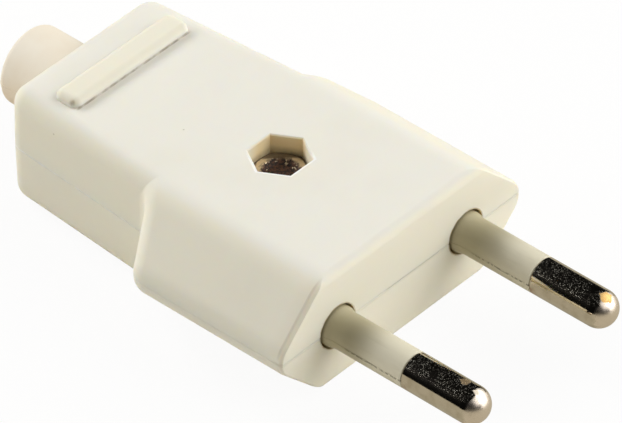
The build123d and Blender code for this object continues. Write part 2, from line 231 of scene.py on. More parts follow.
class Graph:
    """Node tree of one material or world."""

    def __init__(self, tree: bpy.types.NodeTree) -> None:
        """Empties the tree."""
        self.tree = tree
        tree.nodes.clear()

    @staticmethod
    def _socket(sockets: bpy.types.bpy_prop_collection, key: Union[int, str]) -> bpy.types.NodeSocket:
        """Finds a socket by number, identifier or name, in that order.

        Args:
            sockets: A node's inputs or outputs.
            key: The socket's number, identifier or name.

        Returns:
            The socket.
        """
        if isinstance(key, int):
            return sockets[key]
        named = [s for s in sockets if s.identifier == key] or [s for s in sockets if s.name == key]
        return named[0]

    def node(
        self,
        kind: str,
        settings: Optional[Mapping[str, object]] = None,
        inputs: Optional[Mapping[Union[int, str], SocketValue]] = None,
    ) -> bpy.types.Node:
        """Adds a node.

        Args:
            kind: The node's type.
            settings: Its own settings, which are set first.
            inputs: Values or links of its sockets.

        Returns:
            The new node.
        """
        node = self.tree.nodes.new(kind)
        for name, value in (settings or {}).items():
            setattr(node, name, value)
        for key, value in (inputs or {}).items():
            socket = self._socket(node.inputs, key)
            if isinstance(value, Wire):
                self.tree.links.new(value.socket, socket)
            else:
                socket.default_value = value
        return node

    def wire(self, node: bpy.types.Node, output: Union[int, str]) -> Wire:
        """Wraps one output of a node."""
        return Wire(self, self._socket(node.outputs, output))

    def place(self) -> Wire:
        """Place on the object, in metres."""
        return self.wire(self.node("ShaderNodeTexCoord"), "Object")

    def distance(self, vector: Wire, centre: Sequence[float]) -> Wire:
        """Distance from a fixed point.

        Args:
            vector: Place on the object.
            centre: The point.

        Returns:
            The distance in metres.
        """
        node = self.node("ShaderNodeVectorMath", {"operation": "DISTANCE"}, {0: vector, 1: centre})
        return self.wire(node, "Value")

    def split(self, vector: Wire) -> tuple[Wire, Wire, Wire]:
        """Takes a vector apart.

        Args:
            vector: The vector.

        Returns:
            Its x, y and z.
        """
        node = self.node("ShaderNodeSeparateXYZ", inputs={"Vector": vector})
        return self.wire(node, "X"), self.wire(node, "Y"), self.wire(node, "Z")

    def joined(self, across: Wire, along: Wire) -> Wire:
        """Flat place made of two measures."""
        node = self.node("ShaderNodeCombineXYZ", inputs={"X": across, "Y": along})
        return self.wire(node, "Vector")

    def stretched(self, vector: Wire, share: float) -> Wire:
        """Draws a pattern out along the plug.

        Args:
            vector: The place where the pattern is read.
            share: What is left of each step along the plug.

        Returns:
            The new place.
        """
        node = self.node("ShaderNodeMapping", inputs={"Vector": vector, "Scale": (1, share, 1)})
        return self.wire(node, "Vector")

    def noise(self, vector: Wire, size: float, detail: float = 2.0, rough: float = 0.5) -> Wire:
        """Cloudy noise between about 0.2 and 0.8.

        Args:
            vector: Where it is read.
            size: Width of its features in metres.
            detail: Octaves.
            rough: Weight of the finer octaves.

        Returns:
            The noise's level.
        """
        inputs = {"Vector": vector, "Scale": 1 / size, "Detail": detail, "Roughness": rough}
        return self.wire(self.node("ShaderNodeTexNoise", inputs=inputs), "Fac")

    def cloud(self, vector: Wire, size: float) -> Wire:
        """Noise for stains and patches."""
        return self.noise(vector, size, detail=3.0)

    def grain(self, vector: Wire, size: float) -> Wire:
        """Noise with strong fine octaves, for moulded plastic."""
        return self.noise(vector, size, detail=3.0, rough=0.6)

    def cells(self, vector: Wire, size: float) -> tuple[Wire, Wire]:
        """Scattered points.

        Args:
            vector: Where they are read.
            size: Mean spacing of the points in metres.

        Returns:
            Distance to the nearest point in metres, and a random level for that point.
        """
        node = self.node("ShaderNodeTexVoronoi", {"feature": "F1"}, {"Vector": vector, "Scale": 1 / size})
        level = self.node("ShaderNodeSeparateColor", inputs={"Color": self.wire(node, "Color")})
        return self.wire(node, "Distance") * size, self.wire(level, "Red")

    def blend(self, factor: SocketValue, first: SocketValue, second: SocketValue) -> Wire:
        """Mixes two colours.

        Args:
            factor: Share of the second colour.
            first: Colour at 0.
            second: Colour at 1.

        Returns:
            The mixed colour.
        """
        inputs = {"Factor_Float": factor, "A_Color": first, "B_Color": second}
        return self.wire(self.node("ShaderNodeMix", {"data_type": "RGBA"}, inputs), "Result_Color")

    def bump(self, height: Wire, depth: float, below: Optional[Wire] = None) -> Wire:
        """Turns a height from 0 to 1 into a normal.

        Args:
            height: The height.
            depth: Height of 1, in metres.
            below: Normal that it is laid over.

        Returns:
            The normal.
        """
        inputs: dict[Union[int, str], SocketValue] = {"Strength": 1.0, "Distance": depth, "Height": height}
        if below is not None:
            inputs["Normal"] = below
        return self.wire(self.node("ShaderNodeBump", inputs=inputs), "Normal")

    def surface(self, inputs: Mapping[Union[int, str], SocketValue]) -> None:
        """Ends the tree in one Principled shader."""
        shader = self.node("ShaderNodeBsdfPrincipled", inputs=inputs)
        self.node("ShaderNodeOutputMaterial", inputs={"Surface": self.wire(shader, "BSDF")})


class Finish(ABC):
    """A surface finish that makes one material."""

    title: str

    def material(self) -> bpy.types.Material:
        """Makes the material, or returns the one already made.

        Returns:
            The material.
        """
        made = bpy.data.materials.get(self.title)
        if made is None:
            made = bpy.data.materials.new(self.title)
            made.use_nodes = True
            self.paint(Graph(made.node_tree))
        return made

    @abstractmethod
    def paint(self, graph: Graph) -> None:
        """Fills the material's node tree."""


@dataclass(frozen=True)
class IvoryShell(Finish):
    """Moulded ivory plastic with dust, mottling, dirt and a parting line, and with painted light: a warm
    shade tint on its walls, painted shade on its side bands, at the rib, in the nose crease and in the
    nut's recess, a painted glow on the recess walls and a painted highlight on its rim.

    Fades called rise or depth are heights above or below the top face.
    """

    title: str = "ivory_shell"
    colour: Colour = srgb(240, 237, 225)
    warm_shade: Colour = srgb(242, 237, 218)
    mottle_and_band_shade: Colour = srgb(234, 229, 212)
    pale: Colour = srgb(252, 251, 244)
    speck: Colour = srgb(160, 150, 122)
    tan: Colour = srgb(238, 206, 130)
    gold: Colour = srgb(168, 138, 66)
    grime_and_shade: Colour = srgb(128, 104, 66)
    dirt: Colour = srgb(112, 100, 74)
    mottle_size: float = 9 * MM
    mottle_levels: Fade = (0.45, 0.8)
    mottle_share: float = 0.35
    patch_size: float = 1.1 * MM
    patch_levels: Fade = (0.32, 0.62)
    wall_depth: Fade = (-0.06 * MM, -0.5 * MM)
    rear_fade: Fade = (42.7 * MM, 41.7 * MM)
    rib_rise: Fade = (0.25 * MM, 0.65 * MM)
    grip_fade: Fade = (16.2 * MM, 17 * MM)
    grip_share: float = 0.5
    speck_spacing: float = 3.4 * MM
    speck_radius: float = 0.13 * MM
    speck_edge: Fade = (0.195 * MM, 0.117 * MM)
    speck_rarity: float = 0.82
    speck_share: float = 0.5
    seam_fade: Fade = (0.09 * MM, 0.027 * MM)
    bevel_fade: Fade = (0.3 * MM, 0.15 * MM)
    bevel_share: float = 0.1
    face_fade: Fade = (1.5 * MM, 0.5 * MM)
    face_share: float = 0.05
    tail_fade: Fade = (22 * MM, 26 * MM)
    tail_share: float = 0.8
    dirty_left: Fade = (-2.8 * MM, -1.8 * MM)
    dirty_right: Fade = (6.8 * MM, 3.8 * MM)
    dirty_share: float = 0.3
    recess_half: float = 2.95 * MM
    recess_fade: Fade = (0.02 * MM, -0.04 * MM)
    recess_depth: Fade = (0.02 * MM, -0.15 * MM)
    recess_corner: Fade = (1 * MM, 3 * MM)
    recess_clean: float = 1.1 * MM
    tan_share: float = 0.05
    tan_in_corner: float = 0.5
    grime_and_shade_share: float = 0.12
    grime_in_patch: float = 0.2
    shade_in_corner: float = 0.15
    rim_fade: Fade = (0.24 * MM, 0.08 * MM)
    rim_near: Fade = (1 * MM, -1 * MM)
    rim_depth: Fade = (-0.2 * MM, 0.0)
    hole_fade: Fade = (2.66 * MM, 2.45 * MM)
    hole_reach: Fade = (2 * MM, 1 * MM)
    hole_share: float = 0.4
    hole_in_patch: float = 0.5
    rib_front: float = 35.15 * MM
    foot_width: Fade = (0.17 * MM, 0.06 * MM)
    foot_reach: Fade = (8.3 * MM, 7.8 * MM)
    foot_rise: Fade = (0.3 * MM, 0.1 * MM)
    foot_depth: Fade = (-0.1 * MM, 0.0)
    foot_share: float = 0.15
    foot_in_patch: float = 0.4
    rib_end: Place = (-7.95 * MM, 35.9 * MM, 7.3 * MM)
    rib_end_fade: Fade = (0.62 * MM, 0.25 * MM)
    rib_end_ragged: float = 0.2 * MM
    rib_end_share: float = 0.85
    crease_at: float = 0.55 * MM
    crease_from: float = 0.33 * MM
    crease_width: Fade = (0.2 * MM, 0.04 * MM)
    crease_side: Fade = (-10.5 * MM, -12 * MM)
    crease_height: Fade = (0.0, 1.5 * MM)
    crease_share: float = 0.2
    nose_fade: Fade = (2.4 * MM, 0.7 * MM)
    nose_share: float = 0.05
    grain_size: float = 0.24 * MM
    grain_depth: float = 0.0016 * MM
    wave_size: float = 2.6 * MM
    wave_depth: float = 0.006 * MM
    roughness: float = 0.56
    grain_rough: float = 0.12
    mottle_rough: float = 0.1
    gloss: float = 0.28
    glow_share: float = 0.35
    glow_depth: float = 1.2 * MM
    glow_radius: Place = (1.0, 0.75, 0.42)

    def specks(self, graph: Graph, place: Wire) -> Wire:
        """Sparse dust and pinholes, as a mask.

        Args:
            graph: The material's graph.
            place: Place on the object.

        Returns:
            One on a speck.
        """
        distance, level = graph.cells(place, self.speck_spacing)
        ragged = graph.noise(place, self.speck_radius) * self.speck_radius
        spot = (distance + ragged).ramp(*self.speck_edge)
        return spot * level.above(self.speck_rarity)

    def seam(self, graph: Graph, place: Wire, patchy: Wire, colour: Wire) -> Wire:
        """Parting line: dirty between the pins, pale along the tail.

        Args:
            graph: The material's graph.
            place: Place on the object.
            patchy: Noise that breaks the line up.
            colour: Colour under the line.

        Returns:
            The colour with the line.
        """
        x, y, z = graph.split(place)
        line = abs(z).ramp(*self.seam_fade)
        bevel = abs(z).ramp(*self.bevel_fade)
        face = y.ramp(*self.face_fade)
        between_pins = x.ramp(*self.dirty_left) * x.ramp(*self.dirty_right)
        colour = graph.blend(line * y.ramp(*self.tail_fade) * patchy * self.tail_share, colour, self.pale)
        colour = graph.blend(bevel * face * self.bevel_share, colour, self.speck)
        dirty = line * face * (between_pins * self.dirty_share + self.face_share)
        return graph.blend(dirty, colour, self.dirt)

    def recess(self, graph: Graph, place: Wire, patchy: Wire, colour: Wire) -> Wire:
        """Walls of the nut's recess with a painted glow and with dirt and painted shade deepening
        downwards, inside a painted highlight along the rim's near edges.

        Args:
            graph: The material's graph.
            place: Place on the object.
            patchy: Noise that breaks the grime up.
            colour: Colour under the grime.

        Returns:
            The colour with the recess.
        """
        x, y, z = graph.split(place)
        low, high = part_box("assembly_nut")
        along = y - (low.y + high.y) / 2
        height = z - TOP_FACE
        # The hexagon's half width is the largest of its three directions across flats.
        slant, lean = x * math.cos(math.pi / 6), along * math.sin(math.pi / 6)
        across = abs(along).at_least(abs(slant + lean)).at_least(abs(slant - lean)) - self.recess_half
        inside = across.ramp(*self.recess_fade) * z.above(0.0)
        corner = (x + along).ramp(*self.recess_corner)
        # Painted highlight: a pale band along the near edges of the recess rim.
        rim = across.ramp(*self.rim_fade) * (x + along).ramp(*self.rim_near) * height.ramp(*self.rim_depth)
        colour = graph.blend(rim, colour, self.pale)
        # Painted glow: the walls turn tan, most in the back corner.
        walls = inside * height.ramp(*self.recess_depth)
        colour = graph.blend(walls * (self.tan_share + corner * self.tan_in_corner), colour, self.tan)
        # Dirt and painted shade deepen downwards, most in the back corner.
        thick = self.grime_and_shade_share + patchy * self.grime_in_patch + corner * self.shade_in_corner
        deep = z.ramp(TOP_FACE - self.recess_clean, high.z) * thick
        return graph.blend(inside * deep, colour, self.grime_and_shade)

    def pin_holes(self, graph: Graph, place: Wire, patchy: Wire) -> Wire:
        """Gold-brown colour in the mouth of each pin's hole and just round it, patchy.

        Args:
            graph: The material's graph.
            place: Place on the object.
            patchy: Noise that breaks the colour up.

        Returns:
            How strong the gold-brown colour is.
        """
        x, y, z = graph.split(place)
        low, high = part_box("right_pin")
        ring = graph.distance(graph.joined(abs(x), z), ((low.x + high.x) / 2, 0, 0))
        thick = self.hole_share + patchy * self.hole_in_patch
        return ring.ramp(*self.hole_fade) * y.ramp(*self.hole_reach) * thick

    def rib_shade(self, graph: Graph, place: Wire, patchy: Wire) -> Wire:
        """Painted contact shade along the rib's foot and a painted shadow on its left end.

        Args:
            graph: The material's graph.
            place: Place on the object.
            patchy: Noise that breaks the shade up.

        Returns:
            How strong the painted shade is.
        """
        x, y, z = graph.split(place)
        height = z - TOP_FACE
        foot = abs(y - self.rib_front).ramp(*self.foot_width) * abs(x).ramp(*self.foot_reach)
        foot = foot * height.ramp(*self.foot_rise) * height.ramp(*self.foot_depth)
        foot = foot * (self.foot_share + patchy * self.foot_in_patch)
        end = graph.distance(place, self.rib_end) + patchy * self.rib_end_ragged
        return foot.at_least(end.ramp(*self.rib_end_fade) * self.rib_end_share)

    def nose_crease(self, graph: Graph, place: Wire) -> Wire:
        """Painted shade in the crease on the left of the nose and on the nose's rounding.

        Args:
            graph: The material's graph.
            place: Place on the object.

        Returns:
            How strong the painted shade is.
        """
        x, y, z = graph.split(place)
        line = abs(y - self.crease_at).ramp(*self.crease_width) * self.crease_share
        nose = y.ramp(*self.nose_fade) * self.nose_share
        side = x.ramp(*self.crease_side) * abs(z).ramp(*self.crease_height)
        return (line + nose) * side * y.above(self.crease_from)

    def paint(self, graph: Graph) -> None:
        """Fills the material's node tree.

        Args:
            graph: The material's graph.
        """
        place = graph.place()
        x, y, z = graph.split(place)
        cloud = graph.cloud(place, self.mottle_size)
        patchy = graph.cloud(place, self.patch_size).ramp(*self.patch_levels)
        # Painted shade: the walls below the top face, except at the rear end, and the rib take a yellower
        # colour for the warm cast of shade.
        shade_tinted = (abs(z) - TOP_FACE).ramp(*self.wall_depth) * y.ramp(*self.rear_fade)
        on_rib = (z - TOP_FACE).ramp(*self.rib_rise)
        colour = graph.blend(shade_tinted.at_least(on_rib), self.colour, self.warm_shade)
        # Painted shade: the grip's side bands are blended towards the darker mottling colour.
        band_shade = abs(x).ramp(*self.grip_fade) * self.grip_share
        mottled = cloud.ramp(*self.mottle_levels) * self.mottle_share
        colour = graph.blend(mottled + band_shade, colour, self.mottle_and_band_shade)
        colour = graph.blend(self.specks(graph, place) * self.speck_share, colour, self.speck)
        # Painted shade along the rib's foot, on its left end and in the nose crease.
        corners = self.rib_shade(graph, place, patchy).at_least(self.nose_crease(graph, place))
        colour = graph.blend(corners, colour, self.grime_and_shade)
        colour = graph.blend(self.pin_holes(graph, place, patchy), colour, self.gold)
        colour = self.seam(graph, place, patchy, self.recess(graph, place, patchy, colour))
        grain = graph.grain(place, self.grain_size)
        wave = graph.noise(place, self.wave_size, detail=1.0)
        graph.surface({
            "Base Color": colour,
            "Roughness": self.roughness + grain.swing(self.grain_rough) + cloud.swing(self.mottle_rough),
            "Normal": graph.bump(grain, self.grain_depth, graph.bump(wave, self.wave_depth)),
            "IOR": PLASTIC_IOR,
            "Specular IOR Level": self.gloss,
            "Subsurface Weight": self.glow_share,
            "Subsurface Radius": self.glow_radius,
            "Subsurface Scale": self.glow_depth,
        })


@dataclass(frozen=True)
class SleevePlastic(Finish):
    """Greyer plastic of the pin sleeves with handling streaks, painted shade towards the body and darker
    cloudy patches underneath.
    """

    title: str = "sleeve_plastic"
    colour: Colour = srgb(227, 220, 195)
    root_shade: Colour = srgb(164, 154, 116)
    darker_tone: Colour = srgb(168, 158, 126)
    dark: Colour = srgb(104, 94, 68)
    streak_width: float = 0.5 * MM
    streak_stretch: float = 0.12
    streak_levels: Fade = (0.5, 0.85)
    streak_share: float = 0.25
    root_fade: Fade = (-7.2 * MM, -2.4 * MM)
    root_share: float = 0.8
    under_patch_size: float = 2.2 * MM
    under_patch_levels: Fade = (0.25, 0.6)
    under_fade: Fade = (-0.1 * MM, -1.2 * MM)
    under_share: float = 0.6
    seam_drop: float = 0.05 * MM
    seam_width: Fade = (0.16 * MM, 0.06 * MM)
    seam_reach: Fade = (-2 * MM, -3.5 * MM)
    seam_share: float = 0.7
    dot_size: float = 0.45 * MM
    dot_levels: Fade = (0.4, 0.55)
    grain_size: float = 0.18 * MM
    grain_depth: float = 0.0025 * MM
    roughness: float = 0.42
    streak_rough: float = 0.2
    grain_rough: float = 0.1

    def paint(self, graph: Graph) -> None:
        """Fills the material's node tree.

        Args:
            graph: The material's graph.
        """
        place = graph.place()
        _, y, z = graph.split(place)
        streaks = graph.noise(graph.stretched(place, self.streak_stretch), self.streak_width)
        # Darker in cloudy patches towards the underside.
        under = z.ramp(*self.under_fade) * graph.cloud(place, self.under_patch_size).ramp(*self.under_patch_levels)
        dots = graph.noise(place, self.dot_size, detail=1.0).ramp(*self.dot_levels)
        seam = abs(z + self.seam_drop).ramp(*self.seam_width) * dots * y.ramp(*self.seam_reach)
        # Painted shade: the sleeve darkens to a yellower colour towards the body, where the body's shadow
        # falls.
        colour = graph.blend(y.ramp(*self.root_fade) * self.root_share, self.colour, self.root_shade)
        colour = graph.blend(streaks.ramp(*self.streak_levels) * self.streak_share, colour, self.darker_tone)
        colour = graph.blend(under * self.under_share, colour, self.darker_tone)
        grain = graph.grain(place, self.grain_size)
        graph.surface({
            "Base Color": graph.blend(seam * self.seam_share, colour, self.dark),
            "Roughness": self.roughness + streaks.swing(self.streak_rough) + grain.swing(self.grain_rough),
            "Normal": graph.bump(grain, self.grain_depth),
            "IOR": PLASTIC_IOR,
        })


@dataclass(frozen=True)
class PeachRubber(Finish):
    """Soft peach-coloured vinyl of the cord sleeve, with painted shade deepening its lower half."""

    title: str = "peach_rubber"
    colour: Colour = srgb(245, 236, 218)
    deep: Colour = srgb(236, 216, 187)
    cloud_size: float = 3.5 * MM
    cloud_levels: Fade = (0.3, 0.75)
    cloud_share: float = 0.3
    low_fade: Fade = (3 * MM, -2.5 * MM)
    low_share: float = 0.6
    grain_size: float = 0.16 * MM
    grain_depth: float = 0.003 * MM
    roughness: float = 0.55
    grain_rough: float = 0.2
    gloss: float = 0.35

    def paint(self, graph: Graph) -> None:
        """Fills the material's node tree.

        Args:
            graph: The material's graph.
        """
        place = graph.place()
        _, _, z = graph.split(place)
        cloud = graph.cloud(place, self.cloud_size).ramp(*self.cloud_levels)
        # Painted shade: the lower half deepens towards the darker peach.
        deeper = cloud * self.cloud_share + z.ramp(*self.low_fade) * self.low_share
        grain = graph.grain(place, self.grain_size)
        graph.surface({
            "Base Color": graph.blend(deeper, self.colour, self.deep),
            "Roughness": self.roughness + grain.swing(self.grain_rough),
            "Normal": graph.bump(grain, self.grain_depth),
            "IOR": PLASTIC_IOR,
            "Specular IOR Level": self.gloss,
        })


@dataclass(frozen=True)
class ClampPlastic(Finish):
    """Plain grey-white plastic of the hidden clamp bar."""

    title: str = "clamp_plastic_finish"
    colour: Colour = srgb(224, 221, 208)
    shade: Colour = srgb(206, 201, 184)
    cloud_size: float = 4 * MM
    cloud_levels: Fade = (0.3, 0.7)
    cloud_share: float = 0.6
    grain_size: float = 0.25 * MM
    grain_depth: float = 0.004 * MM
    roughness: float = 0.5
    grain_rough: float = 0.2

    def paint(self, graph: Graph) -> None:
        """Fills the material's node tree.

        Args:
            graph: The material's graph.
        """
        place = graph.place()
        cloud = graph.cloud(place, self.cloud_size).ramp(*self.cloud_levels)
        grain = graph.grain(place, self.grain_size)
        graph.surface({
            "Base Color": graph.blend(cloud * self.cloud_share, self.colour, self.shade),
            "Roughness": self.roughness + grain.swing(self.grain_rough),
            "Normal": graph.bump(grain, self.grain_depth),
        })


@dataclass(frozen=True)
class NickelPlate(Finish):
    """Pitted nickel plate on brass, stained at the sleeve, worn through near the tips, and with painted
    shade darkening its underside.
    """

    title: str = "nickel_plate"
    colour: Colour = srgb(214, 203, 186)
    dull: Colour = srgb(178, 165, 140)
    dark_metal: Colour = srgb(134, 120, 92)
    brass: Colour = srgb(240, 196, 122)
    stain: Colour = srgb(150, 98, 52)
    oxide: Colour = srgb(196, 194, 182)
    rubbed: Colour = srgb(244, 229, 213)
    cloud_size: float = 1.4 * MM
    dull_levels: Fade = (0.4, 0.7)
    dull_share: float = 0.5
    belly_fade: Fade = (-0.4 * MM, -1.5 * MM)
    belly_share: float = 0.8
    pit_spacing: float = 0.15 * MM
    pit_depth: float = 0.0014 * MM
    pit_edge: Fade = (0.55, 0.15)
    pit_rarity: Fade = (0.0, 0.9)
    pit_levels: Fade = (0.28, 0.48)
    crown_fade: Fade = (1.25 * MM, 1.55 * MM)
    scratch_size: float = 0.09 * MM
    scratch_stretch: float = 0.1
    scratch_depth: float = 0.00014 * MM
    stain_reach: float = 1.1 * MM
    stain_height: Fade = (0.2 * MM, -0.6 * MM)
    stain_levels: Fade = (0.42, 0.6)
    stain_share: float = 0.8
    tip_fade: Fade = (-17.6 * MM, -18.1 * MM)
    tip_ragged: float = 2.2 * MM
    tip_share: float = 0.8
    wear_grain: float = 0.5 * MM
    wear_ragged: float = 1.1
    wear_edge: float = 0.8
    right_wear: Place = (9.35 * MM, -17.85 * MM, 1.85 * MM)
    right_wear_radius: float = 0.75 * MM
    left_wear: Place = (-8.9 * MM, -15.9 * MM, 1.95 * MM)
    left_wear_radius: float = 0.55 * MM
    left_wear_share: float = 0.5
    wear_metal_loss: float = 0.4
    pit_metal_loss: float = 0.18
    roughness: float = 0.1
    scratch_rough: float = 0.06
    wear_rough: float = 0.3
    matt_rough: float = 0.22

    def worn(self, graph: Graph, place: Wire, centre: Place, radius: float) -> Wire:
        """Ragged patch where the plate has worn through.

        Args:
            graph: The material's graph.
            place: Place on the object.
            centre: Middle of the patch.
            radius: Its rough radius.

        Returns:
            One on the bare brass.
        """
        ragged = graph.cloud(place, self.wear_grain).swing(radius * self.wear_ragged)
        return (graph.distance(place, centre) + ragged).ramp(radius, radius * self.wear_edge)

    def stained(self, graph: Graph, place: Wire, cloud: Wire) -> Wire:
        """Brown stain under the pin where the sleeve ends.

        Args:
            graph: The material's graph.
            place: Place on the object.
            cloud: Noise that breaks the stain up.

        Returns:
            One where the stain is deepest.
        """
        _, y, z = graph.split(place)
        edge = y.ramp(SLEEVE_END - self.stain_reach, SLEEVE_END)
        return edge * z.ramp(*self.stain_height) * cloud.ramp(*self.stain_levels) * self.stain_share

    def pits(self, graph: Graph, place: Wire, cloud: Wire) -> Wire:
        """Corrosion pits along the pin's crown.

        Args:
            graph: The material's graph.
            place: Place on the object.
            cloud: Noise that gathers the pits in patches.

        Returns:
            One in the middle of a pit.
        """
        _, _, z = graph.split(place)
        distance, level = graph.cells(place, self.pit_spacing)
        spots = (distance / self.pit_spacing).ramp(*self.pit_edge) * level.ramp(*self.pit_rarity)
        return spots * cloud.ramp(*self.pit_levels) * z.ramp(*self.crown_fade)

    def paint(self, graph: Graph) -> None:
        """Fills the material's node tree.

        Args:
            graph: The material's graph.
        """
        place = graph.place()
        _, y, z = graph.split(place)
        scratches = graph.noise(graph.stretched(place, self.scratch_stretch), self.scratch_size)
        cloud = graph.cloud(place, self.cloud_size)
        pits = self.pits(graph, place, cloud)
        matt = (y + cloud.swing(self.tip_ragged)).ramp(*self.tip_fade)
        right = self.worn(graph, place, self.right_wear, self.right_wear_radius)
        left = self.worn(graph, place, self.left_wear, self.left_wear_radius)
        wear = right.at_least(left * self.left_wear_share)
        colour = graph.blend(cloud.ramp(*self.dull_levels) * self.dull_share, self.colour, self.dull)
        # Painted shade: the underside darkens where it mirrors the shadowed floor.
        colour = graph.blend(z.ramp(*self.belly_fade) * self.belly_share, colour, self.dark_metal)
        colour = graph.blend(matt * self.tip_share, colour, self.rubbed)
        colour = graph.blend(self.stained(graph, place, cloud), colour, self.stain)
        colour = graph.blend(pits, colour, self.oxide)
        rough = self.roughness + scratches.swing(self.scratch_rough) + wear * self.wear_rough
        graph.surface({
            "Base Color": graph.blend(wear, colour, self.brass),
            "Metallic": 1.0 - wear * self.wear_metal_loss - pits * self.pit_metal_loss,
            "Roughness": rough + (pits + matt) * self.matt_rough,
            "Normal": graph.bump(scratches, self.scratch_depth, graph.bump(1.0 - pits, self.pit_depth)),
        })


@dataclass(frozen=True)
class ZincSteel(Finish):
    """Zinc-plated steel of the hidden screws, with drawn scratches."""

    title: str = "zinc_steel"
    colour: Colour = srgb(196, 196, 192)
    dark_metal: Colour = srgb(150, 142, 122)
    cloud_size: float = 1.2 * MM
    tarnish_levels: Fade = (0.4, 0.75)
    tarnish_share: float = 0.7
    scratch_size: float = 0.08 * MM
    scratch_stretch: float = 0.15
    scratch_depth: float = 0.003 * MM
    roughness: float = 0.28
    cloud_rough: float = 0.3

    def paint(self, graph: Graph) -> None:
        """Fills the material's node tree.

        Args:
            graph: The material's graph.
        """
        place = graph.place()
        cloud = graph.cloud(place, self.cloud_size)
        scratches = graph.noise(graph.stretched(place, self.scratch_stretch), self.scratch_size)
        tarnished = cloud.ramp(*self.tarnish_levels) * self.tarnish_share
        graph.surface({
            "Base Color": graph.blend(tarnished, self.colour, self.dark_metal),
            "Metallic": 1.0,
            "Roughness": self.roughness + cloud.swing(self.cloud_rough),
            "Normal": graph.bump(scratches, self.scratch_depth),
        })


@dataclass(frozen=True)
class RustyFastener(Finish):
    """Plated steel of the captive nut and its screw, rusted round the thread, with dirt and painted shade
    at the nut's rim, a painted shadow at its back, and painted glints.
    """

    title: str = "rusty_fastener"
    plate: Colour = srgb(222, 202, 166)
    rust: Colour = srgb(96, 62, 42)
    soot: Colour = srgb(38, 28, 22)
    grime_and_shade: Colour = srgb(84, 66, 40)
    ring_fade: Fade = (1.75 * MM, 2.2 * MM)
    ring_ragged: float = 0.9 * MM
    rim_fade: Fade = (2.45 * MM, 2.7 * MM)
    rim_share: float = 0.9
    corner_fade: Fade = (18.1 * MM, 18.6 * MM)
    shank_depth: Fade = (-1 * MM, -4 * MM)
    shank_share: float = 0.8
    glint_size: float = 0.448 * MM
    glint_levels: Fade = (0.58, 0.64)
    glint_fade: Fade = (1.2 * MM, 1.5 * MM)
    rust_levels: Fade = (0.4, 0.62)
    flake_size: float = 0.32 * MM
    flake_depth: float = 0.05 * MM
    flake_loss: float = 0.7
    plate_metal: float = 0.5
    plate_gloss: float = 0.35
    roughness: float = 0.7
    flake_rough: float = 0.2

    def paint(self, graph: Graph) -> None:
        """Fills the material's node tree.

        Args:
            graph: The material's graph.
        """
        place = graph.place()
        low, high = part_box("assembly_nut")
        x, y, z = graph.split(place)
        radius = graph.distance(graph.joined(x, y), ((low.x + high.x) / 2, (low.y + high.y) / 2, 0))
        flakes = graph.noise(place, self.flake_size, detail=4.0, rough=0.65)
        ragged = radius + flakes.swing(self.ring_ragged)
        # Painted glints: small spots of bright plate near the thread.
        glints = graph.noise(place, self.glint_size).ramp(*self.glint_levels)
        glints = glints * radius.ramp(*self.glint_fade)
        shank = (z - low.z).ramp(*self.shank_depth) * self.shank_share
        # Dirt and painted shade in the gap round the nut's outer rim, and a painted shadow on the nut's
        # back corner.
        rim = ragged.ramp(*self.rim_fade).at_least((x + y).ramp(*self.corner_fade)) * z.ramp(low.z, high.z)
        bare_plate_and_glints = ragged.ramp(*self.ring_fade).at_least(glints).at_least(shank) * (1.0 - rim * self.rim_share)
        rust = graph.blend(flakes.ramp(*self.rust_levels), self.soot, self.rust)
        rust = graph.blend(rim, rust, self.grime_and_shade)
        graph.surface({
            "Base Color": graph.blend(bare_plate_and_glints, rust, self.plate),
            "Metallic": bare_plate_and_glints * self.plate_metal,
            "Roughness": self.roughness - bare_plate_and_glints * self.plate_gloss + flakes.swing(self.flake_rough),
            "Normal": graph.bump(flakes * (1.0 - bare_plate_and_glints * self.flake_loss), self.flake_depth),
        })


@dataclass(frozen=True)
class StudioPaper(Finish):
    """White paper that looks even to the camera, keeps a soft shadow and is duller in mirrors."""

    title: str = "studio_white"
    colour: Colour = (0.93, 0.9, 0.84, 1.0)
    mirrored: Colour = (0.5, 0.47, 0.37, 1.0)
    direct: Colour = (1.0, 1.0, 1.0, 1.0)
    white_share: float = 0.93

    def paint(self, graph: Graph) -> None:
        """Fills the material's node tree.

        Args:
            graph: The material's graph.
        """
        path = graph.node("ShaderNodeLightPath")
        glossy = graph.wire(path, "Is Glossy Ray")
        seen = graph.wire(path, "Is Camera Ray").at_least(glossy)
        seen = seen.at_least(graph.wire(path, "Is Transmission Ray"))
        paper = graph.node("ShaderNodeBsdfDiffuse", inputs={"Color": self.colour})
        shade = graph.blend(glossy, self.direct, self.mirrored)
        white = graph.node("ShaderNodeEmission", inputs={"Color": shade, "Strength": 1.0})
        mixed = graph.node("ShaderNodeMixShader", inputs={
            0: seen * self.white_share,
            1: graph.wire(paper, "BSDF"),
            2: graph.wire(white, "Emission"),
        })
        graph.node("ShaderNodeOutputMaterial", inputs={"Surface": graph.wire(mixed, "Shader")})


MeshPart = Union[bpy.types.MeshEdge, bpy.types.MeshPolygon]


